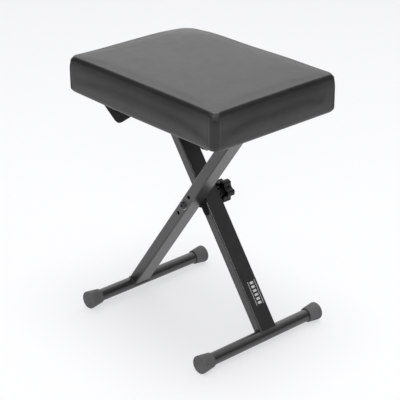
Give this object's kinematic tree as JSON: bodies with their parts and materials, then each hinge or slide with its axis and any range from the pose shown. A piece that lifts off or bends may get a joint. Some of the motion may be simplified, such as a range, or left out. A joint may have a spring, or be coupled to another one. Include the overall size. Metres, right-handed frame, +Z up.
{
  "type": "piano bench",
  "caption": "Folding X-frame piano bench with a padded rectangular seat, rubber-capped round feet and a star knob that locks the height.",
  "frame": {"origin": "on the floor, in the middle of the bench", "axes": "+Z up, +X along the seat's long side, +Y along its depth towards the star knob"},
  "size_m": [0.425, 0.319, 0.539],
  "materials": {
    "black_powder_coat": "satin black powder coat with fine orange peel",
    "zinc_steel": "dull zinc plate",
    "black_bolt": "black oxide",
    "clutch_metal": "black die-cast metal",
    "spring_steel": "bright spring wire",
    "foot_rubber": "matte dark grey rubber",
    "knob_plastic": "fine spark-eroded moulded black plastic",
    "nut_brass": "turned brass",
    "nylon": "natural nylon",
    "plywood": "unfinished birch plywood",
    "foam": "open-cell foam",
    "black_vinyl": "grained black vinyl, low sheen",
    "dust_cloth": "black non-woven cloth"
  },
  "bodies": {
    "frame_a": {"leg_tube_a": "black_powder_coat", "base_tube_a": "black_powder_coat", "cross_tube_a": "black_powder_coat", "cross_tube_inserts_a": "zinc_steel", "pivot_bush_a": "zinc_steel", "clutch_plate_a": "clutch_metal", "foot_cap_a_front": "foot_rubber", "foot_cap_a_rear": "foot_rubber", "hinge_bolts": "black_bolt", "hinge_washers": "nylon", "release_spring": "spring_steel", "pivot_bolt": "black_bolt", "pivot_washer": "zinc_steel"},
    "frame_b": {"leg_tube_b": "black_powder_coat", "base_tube_b": "black_powder_coat", "cross_tube_b": "black_powder_coat", "cross_tube_inserts_b": "zinc_steel", "pivot_bush_b": "zinc_steel", "clutch_plate_b": "clutch_metal", "foot_cap_b_front": "foot_rubber", "foot_cap_b_rear": "foot_rubber", "slide_pins": "black_bolt", "slide_washers": "nylon", "knob_washer": "zinc_steel"},
    "seat": {"seat_board": "plywood", "foam_pad": "foam", "vinyl_cover": "black_vinyl", "dust_cover": "dust_cloth", "cover_staples": "zinc_steel", "t_nuts": "zinc_steel", "bracket_screws": "black_bolt", "hinge_bracket_front": "black_powder_coat", "hinge_bracket_rear": "black_powder_coat", "slot_bracket_front": "black_powder_coat", "slot_bracket_rear": "black_powder_coat", "slot_guard_front": "clutch_metal", "slot_guard_rear": "clutch_metal"},
    "knob": {"star_knob": "knob_plastic", "knob_nut": "nut_brass"}
  },
  "joints": [
    {"name": "frame_fold", "type": "hinge", "parent": "frame_a", "child": "frame_b", "pos_m": [0, 0, 0.259], "axis": [0, 1, 0], "range_deg": [0, 55]},
    {"name": "seat_hinge", "type": "hinge", "parent": "frame_a", "child": "seat", "pos_m": [0.1356, 0, 0.449], "axis": [0, 1, 0], "range_deg": [0, 27.5]},
    {"name": "knob_turn", "type": "hinge", "parent": "frame_a", "child": "knob", "pos_m": [0, 0.0615, 0.259], "axis": [0, 1, 0], "continuous": true}
  ],
  "couplings": [
    {"joint": "seat_hinge", "follows": "frame_fold", "ratio": 0.5}
  ]
}
